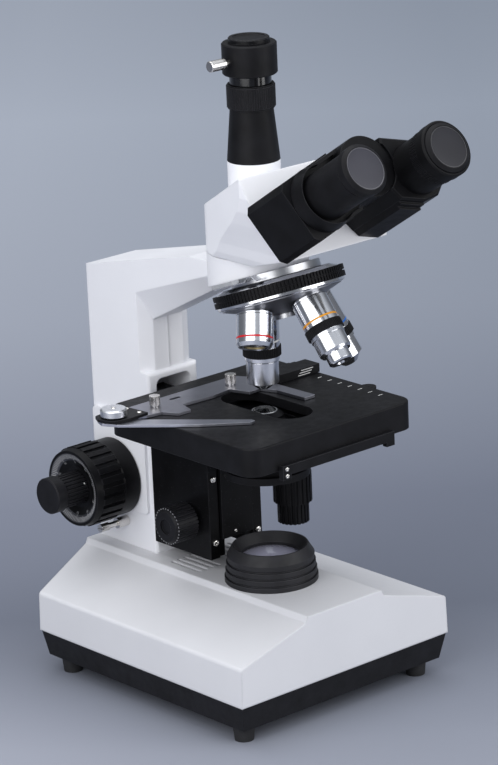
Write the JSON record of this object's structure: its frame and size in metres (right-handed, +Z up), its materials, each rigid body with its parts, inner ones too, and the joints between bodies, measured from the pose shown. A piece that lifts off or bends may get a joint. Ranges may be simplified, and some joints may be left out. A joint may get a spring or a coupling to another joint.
{
  "type": "microscope",
  "caption": "Upright light microscope with swinging eyepieces, capped photo tube, turning objective nosepiece, geared stage and condenser, and coarse and fine focus knobs on one axis.",
  "frame": {"origin": "on the optical axis at table height, under the middle of the field lens", "axes": "+X to the user's right, -Y to the front where the eyepieces point, +Z up along the optical axis"},
  "size_m": [0.2013, 0.3104, 0.4456],
  "materials": {
    "black_plastic": "matte",
    "rubber": "matte",
    "black_aluminium": "anodised",
    "white_aluminium": "satin paint",
    "bright_aluminium": "brushed",
    "steel": "ground",
    "nickel": "polished",
    "gunmetal": "satin",
    "chrome": "polished",
    "brass": "cut",
    "glass": "clear",
    "board_green": "coated",
    "ceramic": "matte"
  },
  "bodies": {
    "stand": {"base_cover": "white_aluminium", "base_pan": "black_plastic", "rubber_feet": "rubber", "case_screws": "steel", "power_inlet": "black_plastic", "circuit_board": "board_green", "lamp_holder": "ceramic", "lamp_bulb": "glass", "field_lens_mount": "black_plastic", "field_lens": "glass", "arm": "white_aluminium", "nosepiece_plate": "steel", "click_spring": "chrome"},
    "switch": {"switch_rocker": "black_plastic"},
    "dimmer": {"brightness_knob": "black_plastic"},
    "limit_lock": {"limit_screw": "nickel"},
    "tension": {"tension_ring": "black_plastic"},
    "head_lock": {"head_lock_screw": "nickel"},
    "coarse": {"coarse_shaft": "steel", "coarse_knob_left": "black_plastic", "coarse_knob_right": "black_plastic"},
    "fine": {"fine_shaft": "steel", "fine_knob_left": "black_plastic", "fine_knob_right": "black_plastic"},
    "focus_slide": {"focus_slide": "brass"},
    "carrier": {"stage_carrier": "black_aluminium", "carrier_screws": "nickel", "stage_lower_plate": "black_aluminium"},
    "condenser": {"condenser_slide": "black_aluminium", "condenser_body": "black_aluminium", "condenser_lens": "glass"},
    "condenser_knob": {"condenser_knob": "black_plastic"},
    "iris": {"iris_lever": "black_aluminium"},
    "stage": {"stage_top": "black_aluminium", "front_rail": "black_aluminium"},
    "y_drive": {"y_knob": "black_plastic"},
    "x_drive": {"x_knob": "black_plastic"},
    "holder": {"x_carriage": "black_aluminium", "slide_holder": "bright_aluminium", "holder_screws": "nickel", "finger_mount": "black_aluminium"},
    "finger": {"slide_finger": "bright_aluminium", "finger_knob": "bright_aluminium"},
    "turret": {"turret": "gunmetal", "turret_ring": "black_plastic", "objective_4x": "chrome", "objective_10x": "chrome", "objective_40x": "chrome", "objective_100x": "chrome"},
    "head": {"head_block": "white_aluminium", "photo_cone": "black_aluminium", "photo_adapter": "black_aluminium"},
    "left_eye": {"left_housing": "black_aluminium", "left_eyepiece": "black_aluminium"},
    "right_eye": {"right_housing": "black_aluminium", "right_eyepiece": "black_aluminium"},
    "diopter": {"diopter_ring": "black_plastic"},
    "photo_focus": {"photo_ring": "black_aluminium"},
    "adapter_lock": {"adapter_screw": "nickel"},
    "cap": {"photo_cap": "black_plastic"}
  },
  "joints": [
    {"name": "power_switch", "type": "hinge", "parent": "stand", "child": "switch", "pos_m": [0.0904, 0.062, 0.043], "axis": [0, 0, 1], "range_deg": [-17, 0]},
    {"name": "brightness", "type": "hinge", "parent": "stand", "child": "dimmer", "pos_m": [0.095, 0.02, 0.043], "axis": [1, 0, 0], "range_deg": [0, 270]},
    {"name": "focus_stop_lock", "type": "hinge", "parent": "stand", "child": "limit_lock", "pos_m": [-0.035, 0.124, 0.094], "axis": [1, 0, 0], "range_deg": [-180, 180]},
    {"name": "focus_tension", "type": "hinge", "parent": "stand", "child": "tension", "pos_m": [-0.03, 0.13, 0.126], "axis": [1, 0, 0], "range_deg": [0, 60]},
    {"name": "head_lock", "type": "hinge", "parent": "stand", "child": "head_lock", "pos_m": [0.038, 0, 0.3022], "axis": [1, 0, 0], "range_deg": [-180, 180]},
    {"name": "stage_lift", "type": "slide", "parent": "stand", "child": "focus_slide", "axis": [0, 0, 1], "range_m": [-0.008, 0.0076]},
    {"name": "coarse_focus", "type": "hinge", "parent": "stand", "child": "coarse", "pos_m": [0, 0.13, 0.126], "axis": [1, 0, 0], "range_deg": [-80, 80]},
    {"name": "fine_focus", "type": "hinge", "parent": "stand", "child": "fine", "pos_m": [0, 0.13, 0.126], "axis": [1, 0, 0], "range_deg": [-1890, 1890]},
    {"name": "fine_lift", "type": "slide", "parent": "focus_slide", "child": "carrier", "axis": [0, 0, 1], "range_m": [-0.001, 0.001]},
    {"name": "condenser_lift", "type": "slide", "parent": "carrier", "child": "condenser", "axis": [0, 0, 1], "range_m": [-0.013, 0.001]},
    {"name": "condenser_focus", "type": "hinge", "parent": "carrier", "child": "condenser_knob", "pos_m": [0, 0.0533, 0.112], "axis": [1, 0, 0], "range_deg": [-15, 125]},
    {"name": "iris", "type": "hinge", "parent": "condenser", "child": "iris", "pos_m": [0, 0, 0.15], "axis": [0, 0, 1], "range_deg": [-55, 10]},
    {"name": "stage_y", "type": "slide", "parent": "carrier", "child": "stage", "axis": [0, 1, 0], "range_m": [-0.02, 0.015]},
    {"name": "stage_y_knob", "type": "hinge", "parent": "stage", "child": "y_drive", "pos_m": [0.0504, 0.0326, 0.12], "axis": [0, 0, 1], "range_deg": [-185, 140]},
    {"name": "stage_x", "type": "slide", "parent": "stage", "child": "holder", "axis": [1, 0, 0], "range_m": [-0.01, 0.056]},
    {"name": "stage_x_knob", "type": "hinge", "parent": "stage", "child": "x_drive", "pos_m": [0.0504, 0.0326, 0.104], "axis": [0, 0, 1], "range_deg": [-510, 100]},
    {"name": "slide_finger", "type": "hinge", "parent": "holder", "child": "finger", "pos_m": [-0.092, 0.044, 0.203], "axis": [0, 0, 1], "range_deg": [-50, 0], "stiffness_Nm_per_rad": 0.03, "springref_deg": 22.92},
    {"name": "nosepiece", "type": "hinge", "parent": "stand", "child": "turret", "pos_m": [0, -0.0197, 0.2829], "axis": [0, 0.3338, 0.9426], "continuous": true},
    {"name": "head_turn", "type": "hinge", "parent": "stand", "child": "head", "pos_m": [0, 0, 0.306], "axis": [0, 0, 1], "continuous": true},
    {"name": "left_swing", "type": "hinge", "parent": "head", "child": "left_eye", "pos_m": [0, -0.13942, 0.39704], "axis": [0, -0.848, 0.5299], "range_deg": [-15.7, 27]},
    {"name": "right_swing", "type": "hinge", "parent": "head", "child": "right_eye", "pos_m": [0, -0.13942, 0.39704], "axis": [0, -0.848, 0.5299], "range_deg": [-27, 15.7]},
    {"name": "diopter", "type": "hinge", "parent": "right_eye", "child": "diopter", "pos_m": [0.03543, -0.1447, 0.3886], "axis": [0, -0.848, 0.5299], "range_deg": [-90, 90]},
    {"name": "photo_focus", "type": "hinge", "parent": "head", "child": "photo_focus", "pos_m": [0, 0, 0.407], "axis": [0, 0, 1], "range_deg": [-180, 180]},
    {"name": "adapter_lock", "type": "hinge", "parent": "head", "child": "adapter_lock", "pos_m": [-0.028, 0, 0.4314], "axis": [1, 0, 0], "range_deg": [-180, 180]},
    {"name": "photo_cap_lift", "type": "slide", "parent": "head", "child": "cap", "axis": [0, 0, 1], "range_m": [0, 0.06]}
  ],
  "couplings": [
    {"joint": "coarse_focus", "follows": "stage_lift", "rad_per_m": -156.25},
    {"joint": "fine_focus", "follows": "fine_lift", "rad_per_m": -31416},
    {"joint": "condenser_focus", "follows": "condenser_lift", "rad_per_m": -156.25},
    {"joint": "stage_y_knob", "follows": "stage_y", "rad_per_m": 156.25},
    {"joint": "stage_x_knob", "follows": "stage_x", "rad_per_m": -156.25},
    {"joint": "right_swing", "follows": "left_swing", "ratio": -1}
  ]
}
